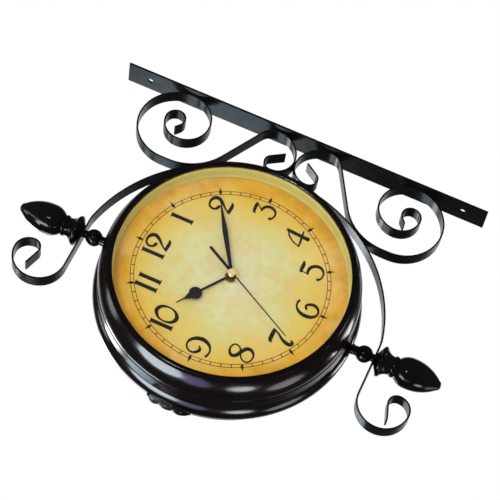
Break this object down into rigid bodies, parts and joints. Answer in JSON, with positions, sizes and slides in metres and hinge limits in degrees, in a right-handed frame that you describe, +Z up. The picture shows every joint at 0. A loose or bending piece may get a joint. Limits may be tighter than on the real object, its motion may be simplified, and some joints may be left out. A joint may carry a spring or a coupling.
{
  "type": "double-sided wall clock",
  "caption": "Round clock with a dial on each side, hung between two pivots in a bent-bar arm, on a scrollwork wall bracket with a screw plate.",
  "frame": {"origin": "centre of the wall plate's back face", "axes": "+X into the wall, +Z up towards twelve o'clock, -Y out of the front dial"},
  "size_m": [0.2918, 0.0745, 0.391],
  "materials": {
    "wrought_iron": "black paint over flat bar, satin",
    "black_gloss": "gloss black enamel",
    "steel": "turned bright steel",
    "nut_brass": "turned brass",
    "clear_glass": "clear flat glass",
    "reflector": "cream paint, satin",
    "parchment": "printed parchment colour, aged towards the edge",
    "tray_steel": "grey primer",
    "black_plastic": "moulded, matt",
    "white_plastic": "moulded, satin",
    "rotor_magnet": "plated magnet",
    "battery_can": "printed steel can",
    "coil_copper": "enamelled copper wire",
    "board_green": "solder mask",
    "hand_black": "satin black"
  },
  "bodies": {
    "bracket": {"wall_plate": "wrought_iron", "arm": "wrought_iron", "upper_scroll": "wrought_iron", "lower_scroll": "wrought_iron", "upper_finial": "black_gloss", "lower_finial": "black_gloss", "upper_ball": "black_gloss", "lower_ball": "black_gloss", "upper_spindle": "steel", "lower_spindle": "steel", "spindle_nuts": "steel"},
    "case": {"case_band": "black_gloss", "side_crest": "black_gloss", "spindle_bushes": "black_gloss", "battery_contacts": "steel", "motor_stators": "steel", "motor_coils": "coil_copper", "circuit_boards": "board_green", "dial_nuts": "nut_brass", "front_case": "black_gloss", "front_bezel": "black_gloss", "front_glass": "clear_glass", "front_dial_ring": "reflector", "front_dial": "parchment", "front_dial_tray": "tray_steel", "front_movement_housing": "black_plastic", "front_movement_cover": "black_plastic", "front_battery": "battery_can", "rear_case": "black_gloss", "rear_bezel": "black_gloss", "rear_glass": "clear_glass", "rear_dial_ring": "reflector", "rear_dial": "parchment", "rear_dial_tray": "tray_steel", "rear_movement_housing": "black_plastic", "rear_movement_cover": "black_plastic", "rear_battery": "battery_can"},
    "front_seconds": {"front_seconds_wheel": "white_plastic", "front_second_hand": "hand_black"},
    "front_rotor": {"front_rotor": "rotor_magnet"},
    "front_intermediate": {"front_intermediate_wheel": "white_plastic"},
    "front_third": {"front_third_wheel": "white_plastic"},
    "front_minute": {"front_centre_wheel": "white_plastic", "front_minute_hand": "hand_black", "front_hand_nut": "nut_brass"},
    "front_setting": {"front_setting_wheel": "white_plastic"},
    "front_hour": {"front_hour_wheel": "white_plastic", "front_hour_hand": "hand_black"},
    "rear_seconds": {"rear_seconds_wheel": "white_plastic", "rear_second_hand": "hand_black"},
    "rear_rotor": {"rear_rotor": "rotor_magnet"},
    "rear_intermediate": {"rear_intermediate_wheel": "white_plastic"},
    "rear_third": {"rear_third_wheel": "white_plastic"},
    "rear_minute": {"rear_centre_wheel": "white_plastic", "rear_minute_hand": "hand_black", "rear_hand_nut": "nut_brass"},
    "rear_setting": {"rear_setting_wheel": "white_plastic"},
    "rear_hour": {"rear_hour_wheel": "white_plastic", "rear_hour_hand": "hand_black"}
  },
  "joints": [
    {"name": "case_swivel", "type": "hinge", "parent": "bracket", "child": "case", "pos_m": [-0.172, 0, 0], "axis": [0, 0, 1], "continuous": true},
    {"name": "front_seconds_spin", "type": "hinge", "parent": "case", "child": "front_seconds", "pos_m": [-0.172, 0, 0], "axis": [0, 1, 0], "continuous": true},
    {"name": "front_rotor_spin", "type": "hinge", "parent": "case", "child": "front_rotor", "pos_m": [-0.163, 0, 0.01564], "axis": [0, 1, 0], "continuous": true},
    {"name": "front_intermediate_spin", "type": "hinge", "parent": "case", "child": "front_intermediate", "pos_m": [-0.16921, 0, 0.01043], "axis": [0, 1, 0], "continuous": true},
    {"name": "front_third_spin", "type": "hinge", "parent": "case", "child": "front_third", "pos_m": [-0.18244, 0, 0.0028], "axis": [0, 1, 0], "continuous": true},
    {"name": "front_minute_spin", "type": "hinge", "parent": "case", "child": "front_minute", "pos_m": [-0.172, 0, 0], "axis": [0, 1, 0], "continuous": true},
    {"name": "front_setting_spin", "type": "hinge", "parent": "case", "child": "front_setting", "pos_m": [-0.1605, 0, 0], "axis": [0, 1, 0], "continuous": true},
    {"name": "front_hour_spin", "type": "hinge", "parent": "case", "child": "front_hour", "pos_m": [-0.172, 0, 0], "axis": [0, 1, 0], "continuous": true},
    {"name": "rear_seconds_spin", "type": "hinge", "parent": "case", "child": "rear_seconds", "pos_m": [-0.172, 0, 0], "axis": [0, -1, 0], "continuous": true},
    {"name": "rear_rotor_spin", "type": "hinge", "parent": "case", "child": "rear_rotor", "pos_m": [-0.181, 0, 0.01564], "axis": [0, -1, 0], "continuous": true},
    {"name": "rear_intermediate_spin", "type": "hinge", "parent": "case", "child": "rear_intermediate", "pos_m": [-0.1748, 0, 0.01043], "axis": [0, -1, 0], "continuous": true},
    {"name": "rear_third_spin", "type": "hinge", "parent": "case", "child": "rear_third", "pos_m": [-0.16157, 0, 0.0028], "axis": [0, -1, 0], "continuous": true},
    {"name": "rear_minute_spin", "type": "hinge", "parent": "case", "child": "rear_minute", "pos_m": [-0.172, 0, 0], "axis": [0, -1, 0], "continuous": true},
    {"name": "rear_setting_spin", "type": "hinge", "parent": "case", "child": "rear_setting", "pos_m": [-0.1835, 0, 0], "axis": [0, -1, 0], "continuous": true},
    {"name": "rear_hour_spin", "type": "hinge", "parent": "case", "child": "rear_hour", "pos_m": [-0.172, 0, 0], "axis": [0, -1, 0], "continuous": true}
  ],
  "couplings": [
    {"joint": "front_rotor_spin", "follows": "front_seconds_spin", "ratio": 30},
    {"joint": "front_intermediate_spin", "follows": "front_seconds_spin", "ratio": -6},
    {"joint": "front_third_spin", "follows": "front_seconds_spin", "ratio": -0.125},
    {"joint": "front_minute_spin", "follows": "front_seconds_spin", "ratio": 0.016667},
    {"joint": "front_setting_spin", "follows": "front_seconds_spin", "ratio": -0.0055556},
    {"joint": "front_hour_spin", "follows": "front_seconds_spin", "ratio": 0.0013889},
    {"joint": "rear_rotor_spin", "follows": "rear_seconds_spin", "ratio": 30},
    {"joint": "rear_intermediate_spin", "follows": "rear_seconds_spin", "ratio": -6},
    {"joint": "rear_third_spin", "follows": "rear_seconds_spin", "ratio": -0.125},
    {"joint": "rear_minute_spin", "follows": "rear_seconds_spin", "ratio": 0.016667},
    {"joint": "rear_setting_spin", "follows": "rear_seconds_spin", "ratio": -0.0055556},
    {"joint": "rear_hour_spin", "follows": "rear_seconds_spin", "ratio": 0.0013889}
  ]
}
